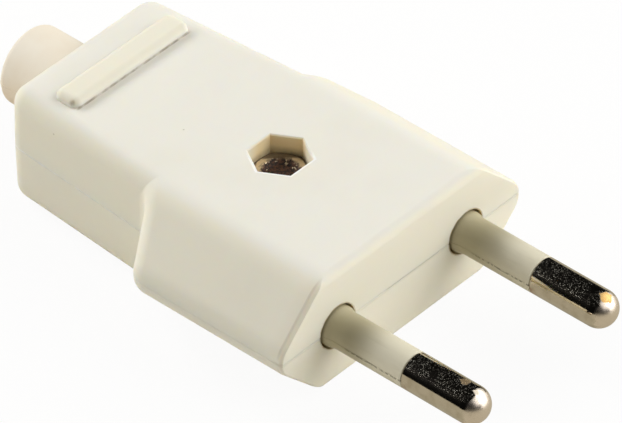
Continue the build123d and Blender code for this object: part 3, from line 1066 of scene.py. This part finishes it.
class Bench:
    """Modelling moves on new mesh objects, one at a time."""

    THREAD_STEPS = 28
    SPARE_TURNS = 3
    RUN_IN_TURNS = 1.37

    @staticmethod
    def clear() -> None:
        """Goes back to object mode with nothing selected."""
        if bpy.context.object is not None and bpy.context.object.mode != "OBJECT":
            bpy.ops.object.mode_set(mode="OBJECT")
        bpy.ops.object.select_all(action="DESELECT")

    @staticmethod
    def activate(obj: bpy.types.Object) -> None:
        """Makes an object the only selected one.

        Args:
            obj: The object.
        """
        Bench.clear()
        obj.select_set(True)
        bpy.context.view_layer.objects.active = obj

    @staticmethod
    def edit(obj: bpy.types.Object) -> None:
        """Opens an object for editing with all of it selected.

        Args:
            obj: The object.
        """
        Bench.activate(obj)
        bpy.ops.object.mode_set(mode="EDIT")
        bpy.ops.mesh.select_all(action="SELECT")

    @staticmethod
    def pick(obj: bpy.types.Object, kind: Element, test: Callable[[MeshPart], bool]) -> None:
        """Opens an object for editing with only the edges or faces that pass a test selected.

        Args:
            obj: The object.
            kind: Edges or faces.
            test: Says whether one of them is wanted.
        """
        Bench.edit(obj)
        bpy.ops.mesh.select_mode(type=kind.value)
        bpy.ops.mesh.select_all(action="DESELECT")
        bpy.ops.object.mode_set(mode="OBJECT")
        parts = obj.data.edges if kind is Element.EDGE else obj.data.polygons
        for part in parts:
            part.select = test(part)
        bpy.ops.object.mode_set(mode="EDIT")

    @staticmethod
    def raise_seam(obj: bpy.types.Object, test: Callable[[MeshPart], bool], height: float) -> None:
        """Lifts a mould seam out of a surface.

        Args:
            obj: The object.
            test: Says whether a face belongs to the seam.
            height: The seam's height.
        """
        Bench.pick(obj, Element.FACE, test)
        bpy.ops.mesh.extrude_region_shrink_fatten(TRANSFORM_OT_shrink_fatten={"value": height})
        bpy.ops.object.mode_set(mode="OBJECT")

    @staticmethod
    def outline(name: str, points: Sequence[Vector]) -> bpy.types.Object:
        """Draws a chain of edges by extruding a vertex from point to point.

        Args:
            name: The new object's name.
            points: The chain's points.

        Returns:
            The new object, still open for editing.
        """
        Bench.clear()
        bpy.ops.mesh.primitive_plane_add(size=MM)
        obj = bpy.context.object
        obj.name = name
        bpy.ops.object.mode_set(mode="EDIT")
        bpy.ops.mesh.select_mode(type="VERT")
        bpy.ops.mesh.merge(type="CENTER")
        bpy.ops.transform.translate(value=points[0])
        for start, end in zip(points, points[1:]):
            bpy.ops.mesh.extrude_vertices_move(TRANSFORM_OT_translate={"value": end - start})
        return obj

    @staticmethod
    def tidy() -> None:
        """Merges doubles and turns faces outwards on the mesh that is open for editing."""
        bpy.ops.mesh.select_all(action="SELECT")
        bpy.ops.mesh.remove_doubles(threshold=WELD)
        bpy.ops.mesh.normals_make_consistent(inside=False)
        bpy.ops.object.mode_set(mode="OBJECT")

    @staticmethod
    def lathe(
        name: str, profile: Sequence[Point], centre: Vector, axis: Axis, steps: int
    ) -> bpy.types.Object:
        """Spins a half section about an axis, with a strip of faces astride the parting plane.

        Args:
            name: The new object's name.
            profile: Points as radius and station along the axis.
            centre: A point on the axis, from which stations are measured.
            axis: The axis.
            steps: Faces round the axis.

        Returns:
            The turned object.
        """
        along = Vector(axis.value)
        angle = math.pi / steps
        side = Vector((0, 0, 1)) if axis is Axis.LENGTH else Vector((0, 1, 0))
        out = Vector((math.cos(angle), 0, 0)) + side * math.sin(angle)
        points = [centre + out * radius + along * station for radius, station in profile]
        obj = Bench.outline(name, points)
        bpy.ops.mesh.select_all(action="SELECT")
        bpy.ops.mesh.spin(steps=steps, angle=2 * math.pi, center=centre, axis=along)
        Bench.tidy()
        return obj

    @staticmethod
    def arc(centre: Point, radius: float, start: float, end: float, steps: int) -> list[Point]:
        """Points along an arc of a profile.

        Args:
            centre: The arc's centre as radius and station.
            radius: The arc's radius.
            start: First angle in degrees, from the outward direction towards +station.
            end: Last angle in degrees.
            steps: Chords along the arc.

        Returns:
            The points, both ends included.
        """
        angles = [math.radians(start + (end - start) * i / steps) for i in range(steps + 1)]
        return [(centre[0] + radius * math.cos(a), centre[1] + radius * math.sin(a)) for a in angles]

    @staticmethod
    def block(name: str, low: Vector, high: Vector) -> bpy.types.Object:
        """Box between two corners, with its place in its mesh.

        Args:
            name: The new object's name.
            low: Lowest corner.
            high: Highest corner.

        Returns:
            The box.
        """
        Bench.clear()
        bpy.ops.mesh.primitive_cube_add(size=1, location=(low + high) / 2, scale=high - low)
        obj = bpy.context.object
        obj.name = name
        bpy.ops.object.transform_apply(location=True, rotation=True, scale=True)
        return obj

    @staticmethod
    def modify(obj: bpy.types.Object, kind: str, **settings: object) -> None:
        """Adds a modifier and applies it.

        Args:
            obj: The object.
            kind: The modifier's type.
            settings: Its settings.
        """
        Bench.activate(obj)
        modifier = obj.modifiers.new(kind.lower(), kind)
        for name, value in settings.items():
            setattr(modifier, name, value)
        bpy.ops.object.modifier_apply(modifier=modifier.name)

    @staticmethod
    def combine(obj: bpy.types.Object, tool: bpy.types.Object, way: Joining) -> None:
        """Cuts, joins or trims an object with a second one, which is used up.

        Args:
            obj: The object that is kept.
            tool: The object that is used up.
            way: What the tool does.
        """
        Bench.modify(obj, "BOOLEAN", object=tool, operation=way.value, solver="EXACT")
        mesh = tool.data
        bpy.data.objects.remove(tool)
        bpy.data.meshes.remove(mesh)

    @staticmethod
    def thread(
        name: str, crest: float, root: float, pitch: float, low: float, high: float
    ) -> bpy.types.Object:
        """Threaded rod about the Z axis, cut square at both ends.

        Args:
            name: The new object's name.
            crest: Radius over the crests.
            root: Radius at the roots.
            pitch: Rise of one turn.
            low: Height of the lower end.
            high: Height of the upper end.

        Returns:
            The closed rod.
        """
        # The run-in is no whole number of steps, so neither end cut meets a point of the thread.
        start = low - Bench.RUN_IN_TURNS * pitch
        # One tooth, as radii and shares of the pitch.
        tooth = [(root, 0.0), (root, 0.2), (crest, 0.5), (crest, 0.65), (root, 0.95), (root, 1.0)]
        obj = Bench.outline(name, [Vector((radius, 0, start + share * pitch)) for radius, share in tooth])
        bpy.ops.object.mode_set(mode="OBJECT")
        turns = math.ceil((high - low) / pitch) + Bench.SPARE_TURNS
        Bench.modify(obj, "SCREW", axis="Z", angle=2 * math.pi, screw_offset=pitch, iterations=turns,
                     steps=Bench.THREAD_STEPS, render_steps=Bench.THREAD_STEPS,
                     use_merge_vertices=True, merge_threshold=WELD)
        for height, outer in ((low, False), (high, True)):
            Bench.edit(obj)
            bpy.ops.mesh.bisect(plane_co=(0, 0, height), plane_no=(0, 0, 1), use_fill=True,
                                clear_outer=outer, clear_inner=not outer, threshold=WELD)
        Bench.tidy()
        return obj

    @staticmethod
    def shift(obj: bpy.types.Object, move: Vector, turn: float = 0.0) -> None:
        """Moves a finished mesh and keeps its object at the origin.

        Args:
            obj: The object.
            move: The move.
            turn: Turn about the X axis before the move, in radians.
        """
        Bench.activate(obj)
        obj.rotation_euler = (turn, 0, 0)
        obj.location = move
        bpy.ops.object.transform_apply(location=True, rotation=True, scale=True)

    @staticmethod
    def hand_over(obj: bpy.types.Object, finish: Finish, slot: Slot, *nodes: str) -> None:
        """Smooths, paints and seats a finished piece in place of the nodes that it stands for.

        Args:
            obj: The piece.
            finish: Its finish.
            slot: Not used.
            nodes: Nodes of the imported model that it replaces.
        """
        Bench.activate(obj)
        bpy.ops.object.shade_smooth_by_angle(angle=SMOOTH_ANGLE)
        obj.data.materials.clear()
        obj.data.materials.append(finish.material())
        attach(obj, BODY)
        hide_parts(*nodes)
        log.info("%s: %d faces in %s", obj.name, len(obj.data.polygons), finish.title)


class SubAssembly(ABC):
    """A group of pieces that is built and dressed together."""

    @abstractmethod
    def build(self) -> None:
        """Models and dresses the group's pieces."""


@dataclass
class Housing(SubAssembly):
    """The two moulded shells and the clamp bar inside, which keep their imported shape."""

    shells: tuple[str, str] = ("upper_shell", "lower_shell")
    clamp: str = "cord_clamp_bar"

    def build(self) -> None:
        """Dresses the shells and the clamp bar."""
        for name in self.shells:
            self.dress(name, IvoryShell())
        self.dress(self.clamp, ClampPlastic())

    def dress(self, name: str, finish: Finish) -> None:
        """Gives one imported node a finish.

        Args:
            name: The node.
            finish: Its finish.
        """
        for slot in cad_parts[name].material_slots:
            slot.link = "OBJECT"
            slot.material = finish.material()
        log.info("%s: packed shape in %s", name, finish.title)


@dataclass
class ContactPin(SubAssembly):
    """Turned pin with a round tip, its drilled terminal barrel and the sleeve round its root."""

    side: Side
    radius: float = 2.0 * MM
    core_radius: float = 1.5 * MM
    shoulder_bevel: float = 0.1 * MM
    tip_steps: int = 20
    barrel_front: float = 4.2 * MM
    barrel_bevel: float = 0.2 * MM
    wire_hole_radius: float = 1.3 * MM
    wire_hole_depth: float = 7.0 * MM
    drill_point: float = 0.78 * MM
    screw_inset: float = 3.5 * MM
    screw_hole_radius: float = 1.3 * MM
    screw_hole_steps: int = 32
    sleeve_gap: float = 0.02 * MM
    flare: float = 0.2 * MM
    flare_length: float = 1.1 * MM
    flare_steps: int = 8
    root_depth: float = 1.15 * MM
    end_round: float = 0.12 * MM
    end_steps: int = 4
    seam_height: float = 0.025 * MM
    seam_from: float = 1.96 * MM
    steps: int = 96

    def build(self) -> None:
        """Models and dresses the pin and its sleeve."""
        Bench.hand_over(self.pin(), NickelPlate(), Slot.PIN, f"{self.side.value}_pin")
        Bench.hand_over(self.sleeve(), SleevePlastic(), Slot.PIN_SLEEVE, f"{self.side.value}_pin_sleeve")

    def centre(self) -> Vector:
        """Point on the pin's axis in the engagement face."""
        low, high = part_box(f"{self.side.value}_pin")
        return Vector(((low.x + high.x) / 2, 0, (low.z + high.z) / 2))

    def pin(self) -> bpy.types.Object:
        """Turns the pin and drills its barrel.

        Returns:
            The pin.
        """
        low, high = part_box(f"{self.side.value}_pin")
        barrel = (high.z - low.z) / 2
        bevel, edge = self.shoulder_bevel, self.barrel_bevel
        profile = Bench.arc((0.0, low.y + self.radius), self.radius, -90, 0, self.tip_steps)
        profile += [
            (self.radius, SLEEVE_END - bevel),
            (self.radius - bevel, SLEEVE_END),
            (self.core_radius, SLEEVE_END),
            (self.core_radius, self.barrel_front),
            (barrel - edge, self.barrel_front),
            (barrel, self.barrel_front + edge),
            (barrel, high.y - edge),
            (barrel - edge, high.y),
            (self.wire_hole_radius, high.y),
            (self.wire_hole_radius, high.y - self.wire_hole_depth),
            (0.0, high.y - self.wire_hole_depth - self.drill_point),
        ]
        obj = Bench.lathe(f"{self.side.value}_contact_pin", profile, self.centre(), Axis.LENGTH, self.steps)
        bore, rise = self.screw_hole_radius, 2 * barrel
        hole = [(0.0, 0.0), (bore, 0.0), (bore, rise), (0.0, rise)]
        place = self.centre() + Vector((0, high.y - self.screw_inset, 0))
        drill = Bench.lathe("screw_hole", hole, place, Axis.UP, self.screw_hole_steps)
        Bench.combine(obj, drill, Joining.CUT)
        return obj

    def sleeve(self) -> bpy.types.Object:
        """Turns the sleeve and raises its mould seam.

        Returns:
            The sleeve.
        """
        bore, radius = self.core_radius + self.sleeve_gap, self.radius
        front, rear = SLEEVE_END + self.sleeve_gap, self.barrel_front - self.sleeve_gap
        root = radius + self.flare
        profile = [(bore, front)]
        profile += Bench.arc(
            (radius - self.end_round, front + self.end_round), self.end_round, -90, 0, self.end_steps)
        for step in range(self.flare_steps + 1):
            share = step / self.flare_steps
            swell = self.flare * (1 - math.cos(math.pi * share)) / 2
            profile.append((radius + swell, -self.flare_length * (1 - share)))
        profile += [
            (root, self.root_depth),
            (radius, self.root_depth),
            (radius, rear),
            (bore, rear),
            (bore, front),
        ]
        middle = self.centre()
        obj = Bench.lathe(f"{self.side.value}_sleeve", profile, middle, Axis.LENGTH, self.steps)
        half_strip = math.pi * root / self.steps

        def on_seam(face: bpy.types.MeshPolygon) -> bool:
            """Says whether a face lies astride the parting plane on the sleeve's outside."""
            astride = abs(face.center.z - middle.z) < half_strip and face.area > LEAST_AREA
            return astride and face.center.y < 0 and abs(face.center.x - middle.x) > self.seam_from

        Bench.raise_seam(obj, on_seam, self.seam_height)
        return obj


@dataclass
class CordSleeve(SubAssembly):
    """Outlet sleeve with a round rim, mould seams, and the flange that the shells trap."""

    node: str = "cord_sleeve"
    radius: float = 4.35 * MM
    tail_radius: float = 4.0 * MM
    bore_radius: float = 3.1 * MM
    tail_length: float = 2.6 * MM
    flange_thickness: float = 1.6 * MM
    flange_corner: float = 1.5 * MM
    flange_corner_steps: int = 6
    flange_hole_play: float = 0.5 * MM
    flange_hole_steps: int = 64
    rim_radius: float = 0.8 * MM
    rim_steps: int = 10
    mouth_bevel: float = 0.4 * MM
    seam_height: float = 0.04 * MM
    steps: int = 128

    def build(self) -> None:
        """Models and dresses the sleeve."""
        Bench.hand_over(self.sleeve(), PeachRubber(), Slot.CORD_SLEEVE, self.node)

    def sleeve(self) -> bpy.types.Object:
        """Turns the sleeve, raises its seams and adds the flange.

        Returns:
            The sleeve.
        """
        low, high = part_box(self.node)
        flange_front = low.y + self.tail_length
        flange_rear = flange_front + self.flange_thickness
        shoulder = self.radius - self.rim_radius
        profile = [
            (self.bore_radius, low.y),
            (self.tail_radius, low.y),
            (self.tail_radius, flange_front),
            (self.radius, flange_front),
            (self.radius, flange_rear),
        ]
        profile += Bench.arc((shoulder, high.y - self.rim_radius), self.rim_radius, 0, 90, self.rim_steps)
        profile += [
            (self.bore_radius + self.mouth_bevel, high.y),
            (self.bore_radius, high.y - self.mouth_bevel),
            (self.bore_radius, low.y),
        ]
        middle = Vector((0, 0, (low.z + high.z) / 2))
        obj = Bench.lathe("cord_outlet_sleeve", profile, middle, Axis.LENGTH, self.steps)
        half_strip = math.pi * self.radius / self.steps

        def on_seam(face: bpy.types.MeshPolygon) -> bool:
            """Says whether a face lies astride the parting plane, behind the flange and outside."""
            astride = abs(face.center.z - middle.z) < half_strip
            return astride and face.center.y > flange_rear and abs(face.center.x) > shoulder

        Bench.raise_seam(obj, on_seam, self.seam_height)
        Bench.combine(obj, self.flange(low, high, flange_front), Joining.JOIN)
        return obj

    def flange(self, low: Vector, high: Vector, front: float) -> bpy.types.Object:
        """Flat flange with round corners and a hole for the sleeve's bore.

        Args:
            low: The node's lowest corner.
            high: The node's highest corner.
            front: Station of the flange's front face.

        Returns:
            The flange.
        """
        rear = front + self.flange_thickness
        obj = Bench.block("flange", Vector((low.x, front, low.z)), Vector((high.x, rear, high.z)))
        mesh = obj.data

        def runs_through(edge: bpy.types.MeshEdge) -> bool:
            """Says whether an edge runs through the flange's thickness."""
            first, second = (mesh.vertices[i].co for i in edge.vertices)
            return abs(first.y - second.y) > self.flange_thickness / 2

        Bench.pick(obj, Element.EDGE, runs_through)
        bpy.ops.mesh.bevel(offset=self.flange_corner, segments=self.flange_corner_steps)
        bpy.ops.object.mode_set(mode="OBJECT")
        bore = self.bore_radius + self.flange_hole_play
        start, end = front - OVERCUT, rear + OVERCUT
        hole = [(0.0, start), (bore, start), (bore, end), (0.0, end)]
        drill = Bench.lathe("flange_hole", hole, Vector(), Axis.LENGTH, self.flange_hole_steps)
        Bench.combine(obj, drill, Joining.CUT)
        return obj


@dataclass(frozen=True)
class SlottedScrew:
    """Cheese-headed screw with a slot and a cut thread, standing on its head's underside."""

    radius: float
    length: float
    head_radius: float
    head_height: float
    pitch: float
    thread_depth: float
    rim_bevel: float = 0.25 * MM
    slot_width: float = 0.7 * MM
    slot_depth: float = 0.8 * MM
    tip_bevel: float = 0.25 * MM
    rim_steps: int = 4
    steps: int = 48

    def model(self, name: str) -> bpy.types.Object:
        """Models the screw with its head up and its shank down.

        Args:
            name: The new object's name.

        Returns:
            The screw.
        """
        bevel, top = self.rim_bevel, self.head_height
        profile = [(0.0, 0.0), (self.head_radius, 0.0), (self.head_radius, top - bevel)]
        profile += Bench.arc((self.head_radius - bevel, top - bevel), bevel, 0, 90, self.rim_steps)[1:]
        profile += [(0.0, top)]
        screw = Bench.lathe(name, profile, Vector(), Axis.UP, self.steps)
        low = Vector((-2 * self.head_radius, -self.slot_width / 2, top - self.slot_depth))
        high = Vector((2 * self.head_radius, self.slot_width / 2, top + OVERCUT))
        Bench.combine(screw, Bench.block("slot", low, high), Joining.CUT)
        shank = Bench.thread("shank", self.radius, self.radius - self.thread_depth, self.pitch,
                             -self.length - self.pitch, self.thread_depth)
        tip = [
            (0.0, -self.length),
            (self.radius - self.tip_bevel, -self.length),
            (self.radius + OVERCUT, -self.length + self.tip_bevel + OVERCUT),
            (self.radius + OVERCUT, OVERCUT),
            (0.0, OVERCUT),
        ]
        Bench.combine(shank, Bench.lathe("tip_cone", tip, Vector(), Axis.UP, self.steps), Joining.TRIM)
        Bench.combine(screw, shank, Joining.JOIN)
        return screw


@dataclass
class Fasteners(SubAssembly):
    """Captive nut and assembly screw on the centre line, terminal screws and cord clamp screws."""

    pitch: float = 0.5 * MM
    thread_depth: float = 0.28 * MM
    assembly_radius: float = 1.5 * MM
    assembly_head_height: float = 2.0 * MM
    terminal_radius: float = 1.25 * MM
    terminal_head_height: float = 1.4 * MM
    clamp_radius: float = 1.3 * MM
    clamp_head_radius: float = 2.3 * MM
    clamp_head_height: float = 1.4 * MM
    nut_bevel_height: float = 0.32 * MM
    nut_bevel_width: float = 0.55 * MM
    nut_play: float = 0.05 * MM
    nut_steps: int = 96
    countersink_radius: float = 1.85 * MM
    countersink_steps: int = 64

    def build(self) -> None:
        """Models and dresses the nut and all the screws."""
        Bench.hand_over(self.nut(), RustyFastener(), Slot.SCREW, "assembly_nut")
        Bench.hand_over(self.assembly_screw(), RustyFastener(), Slot.SCREW, "assembly_screw")
        for side in Side:
            node = f"{side.value}_terminal_screw"
            Bench.hand_over(self.terminal_screw(side, node), ZincSteel(), Slot.SCREW, node)
        Bench.hand_over(self.clamp_screws(), ZincSteel(), Slot.SCREW, "cord_clamp_screws")

    def nut(self) -> bpy.types.Object:
        """Hexagon nut with bevelled corners, countersunk at both ends and threaded.

        Returns:
            The nut.
        """
        low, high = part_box("assembly_nut")
        corner = (high.x - low.x) / 2
        centre = (low + high) / 2
        half = (high.z - low.z) / 2
        Bench.clear()
        bpy.ops.mesh.primitive_cylinder_add(
            vertices=6, radius=corner, depth=2 * half, location=centre, rotation=(0, 0, math.pi / 2))
        nut = bpy.context.object
        nut.name = "captive_nut"
        bpy.ops.object.transform_apply(location=True, rotation=True, scale=True)
        rise, run = self.nut_bevel_height, self.nut_bevel_width
        blank = [(0.0, -half), (corner - run, -half), (corner, rise - half), (corner, half - rise)]
        blank += [(corner - run, half), (0.0, half)]
        Bench.combine(nut, Bench.lathe("nut_blank", blank, centre, Axis.UP, self.nut_steps), Joining.TRIM)
        crest = self.assembly_radius + self.nut_play
        root, past = crest - self.thread_depth, half + OVERCUT
        tap = Bench.thread("tap", crest, root, self.pitch, -past, past)
        Bench.shift(tap, centre)
        Bench.combine(nut, tap, Joining.CUT)
        wide = self.countersink_radius
        foot = half - (wide - root)
        for end in (-1, 1):
            cone = [(0.0, end * foot), (root, end * foot)]
            cone += [(wide, end * half), (wide, end * past), (0.0, end * past)]
            drill = Bench.lathe("countersink", cone, centre, Axis.UP, self.countersink_steps)
            Bench.combine(nut, drill, Joining.CUT)
        return nut

    def screw(
        self,
        name: str,
        box: tuple[Vector, Vector],
        radius: float,
        head_height: float,
        head_radius: Optional[float] = None,
    ) -> bpy.types.Object:
        """Models a screw at the origin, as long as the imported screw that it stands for.

        Args:
            name: The new object's name.
            box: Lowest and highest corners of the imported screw.
            radius: Radius over the thread.
            head_height: Height of the head.
            head_radius: Radius of the head, which otherwise fills the box.

        Returns:
            The screw.
        """
        low, high = box
        length = high.z - low.z - head_height
        head = head_radius or (high.x - low.x) / 2
        return SlottedScrew(radius, length, head, head_height, self.pitch, self.thread_depth).model(name)

    def assembly_screw(self) -> bpy.types.Object:
        """Long screw that comes up from the underside into the nut.

        Returns:
            The screw.
        """
        low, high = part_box("assembly_screw")
        screw = self.screw("long_screw", (low, high), self.assembly_radius, self.assembly_head_height)
        seat = Vector(((low.x + high.x) / 2, (low.y + high.y) / 2, low.z + self.assembly_head_height))
        Bench.shift(screw, seat, math.pi)
        return screw

    def terminal_screw(self, side: Side, node: str) -> bpy.types.Object:
        """Short screw in one pin's barrel.

        Args:
            side: The pin's side.
            node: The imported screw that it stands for.

        Returns:
            The screw.
        """
        low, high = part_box(node)
        name = f"{side.value}_wire_screw"
        screw = self.screw(name, (low, high), self.terminal_radius, self.terminal_head_height)
        seat = Vector(((low.x + high.x) / 2, (low.y + high.y) / 2, high.z - self.terminal_head_height))
        Bench.shift(screw, seat)
        return screw

    def clamp_screws(self) -> bpy.types.Object:
        """Pair of screws through the clamp bar, as one piece.

        Returns:
            The pair.
        """
        low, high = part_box("cord_clamp_screws")
        first = self.screw("clamp_screw_pair", (low, high), self.clamp_radius, self.clamp_head_height,
                           self.clamp_head_radius)
        second = first.copy()
        second.data = first.data.copy()
        bpy.context.scene.collection.objects.link(second)
        middle = Vector((0, (low.y + high.y) / 2, high.z - self.clamp_head_height))
        places = (low.x + self.clamp_head_radius, high.x - self.clamp_head_radius)
        for screw, x in zip((first, second), places):
            Bench.shift(screw, middle + Vector((x, 0, 0)))
        Bench.activate(first)
        second.select_set(True)
        bpy.ops.object.join()
        return first


@dataclass(frozen=True)
class Softbox:
    """Square lamp that is aimed at the plug; one that is not mirrored stays out of reflections."""

    name: str
    toward: Place
    distance: float
    width: float
    level: float
    mirrored: bool = True

    def build(self, aim: Vector) -> None:
        """Adds the lamp.

        Args:
            aim: The point that it faces.
        """
        lamp = bpy.data.lights.new(self.name, "AREA")
        lamp.shape = "SQUARE"
        lamp.size = self.width
        lamp.energy = math.pi * self.level * self.width ** 2
        obj = bpy.data.objects.new(self.name, lamp)
        bpy.context.scene.collection.objects.link(obj)
        obj.visible_glossy = self.mirrored
        back = Vector(self.toward).normalized()
        obj.location = aim + back * self.distance
        obj.rotation_mode = "QUATERNION"
        obj.rotation_quaternion = back.to_track_quat("Z", "Y")
        log.info("%s: lamp of level %.2f", self.name, self.level)


@dataclass
class Studio(SubAssembly):
    """White floor, dark room and softboxes."""

    floor_size: float = 8.0
    floor_gap: float = 0.02 * MM
    room_level: float = 0.004
    lamps: tuple[Softbox, ...] = (
        Softbox("rear_key", toward=(0.0, 0.82, 0.57), distance=0.8, width=0.3, level=10.0),
        Softbox("left_kicker", toward=(-0.52, 0.74, 0.43), distance=0.8, width=0.3, level=7.8),
        Softbox("low_rear", toward=(-0.2, 0.95, 0.2), distance=0.8, width=0.4, level=0.6),
        Softbox("left_fill", toward=(-0.93, 0.1, 0.35), distance=0.75, width=0.4, level=0.65,
                mirrored=False),
        Softbox("right_low", toward=(0.93, -0.22, 0.3), distance=0.75, width=0.7, level=1.05),
        Softbox("right_high", toward=(0.66, -0.3, 0.69), distance=0.75, width=0.7, level=1.5),
        Softbox("front_high", toward=(0.1, -0.68, 0.73), distance=0.75, width=0.6, level=1.2),
        Softbox("front_right", toward=(0.55, -0.75, 0.36), distance=0.75, width=0.6, level=1.95),
    )

    def build(self) -> None:
        """Adds the floor, the room and the lamps."""
        aim = (CAD_LOW + CAD_HIGH) / 2
        self.floor()
        self.room()
        for lamp in self.lamps:
            lamp.build(aim)
        bpy.context.scene.view_settings.view_transform = "Standard"

    def floor(self) -> None:
        """White sheet under the plug that keeps a soft shadow."""
        Bench.clear()
        bpy.ops.mesh.primitive_plane_add(size=self.floor_size, location=(0, 0, CAD_LOW.z - self.floor_gap))
        sheet = bpy.context.object
        sheet.name = "studio_floor"
        sheet.data.materials.append(StudioPaper().material())
        log.info("%s: %.0f m sheet", sheet.name, self.floor_size)

    def room(self) -> None:
        """Dark room that is white only where the camera looks straight at it."""
        world = bpy.data.worlds.new("studio_room")
        world.use_nodes = True
        bpy.context.scene.world = world
        graph = Graph(world.node_tree)
        seen = graph.wire(graph.node("ShaderNodeLightPath"), "Is Camera Ray")
        level = seen * (1 - self.room_level) + self.room_level
        light = graph.node("ShaderNodeBackground", inputs={"Color": (1, 1, 1, 1), "Strength": level})
        graph.node("ShaderNodeOutputWorld", inputs={"Surface": graph.wire(light, "Background")})


@dataclass(frozen=True)
class PhotoCamera:
    """Long lens at the photograph's viewing angle."""

    image_width: int = 622
    focal_pixels: float = 8914.26
    sensor: float = 36.0
    azimuth: float = math.radians(-47.443)
    elevation: float = math.radians(40.287)
    roll: float = math.radians(-0.68)
    distance: float = 867.302 * MM
    target: Place = (1.593 * MM, 13.302 * MM, 0.0)
    nearest: float = 10 * MM
    farthest: float = 20.0

    def build(self) -> None:
        """Adds the camera and makes it the scene's own."""
        lens = bpy.data.cameras.new("photo_lens")
        lens.sensor_fit = "HORIZONTAL"
        lens.sensor_width = self.sensor
        lens.lens = self.focal_pixels * self.sensor / self.image_width
        lens.clip_start, lens.clip_end = self.nearest, self.farthest
        camera = bpy.data.objects.new("photo_camera", lens)
        bpy.context.scene.collection.objects.link(camera)
        level, rise = math.cos(self.elevation), math.sin(self.elevation)
        back = Vector((math.sin(self.azimuth) * level, -math.cos(self.azimuth) * level, rise))
        right = (-back).cross(Vector((0, 0, 1))).normalized()
        up = right.cross(-back)
        across = right * math.cos(self.roll) + up * math.sin(self.roll)
        upright = up * math.cos(self.roll) - right * math.sin(self.roll)
        turn = Matrix((across, upright, back)).transposed()
        camera.matrix_world = Matrix.Translation(Vector(self.target) + back * self.distance) @ turn.to_4x4()
        bpy.context.scene.camera = camera
        log.info("camera: %.0f mm lens", lens.lens)


def main() -> None:
    """Builds every sub-assembly, the studio and the camera in order."""
    logging.basicConfig(level=logging.INFO, format="%(name)s %(message)s")
    pins = [ContactPin(side) for side in Side]
    groups: list[SubAssembly] = [Housing(), *pins, CordSleeve(), Fasteners(), Studio()]
    for group in groups:
        group.build()
    PhotoCamera().build()


if __name__ == "__main__":
    main()
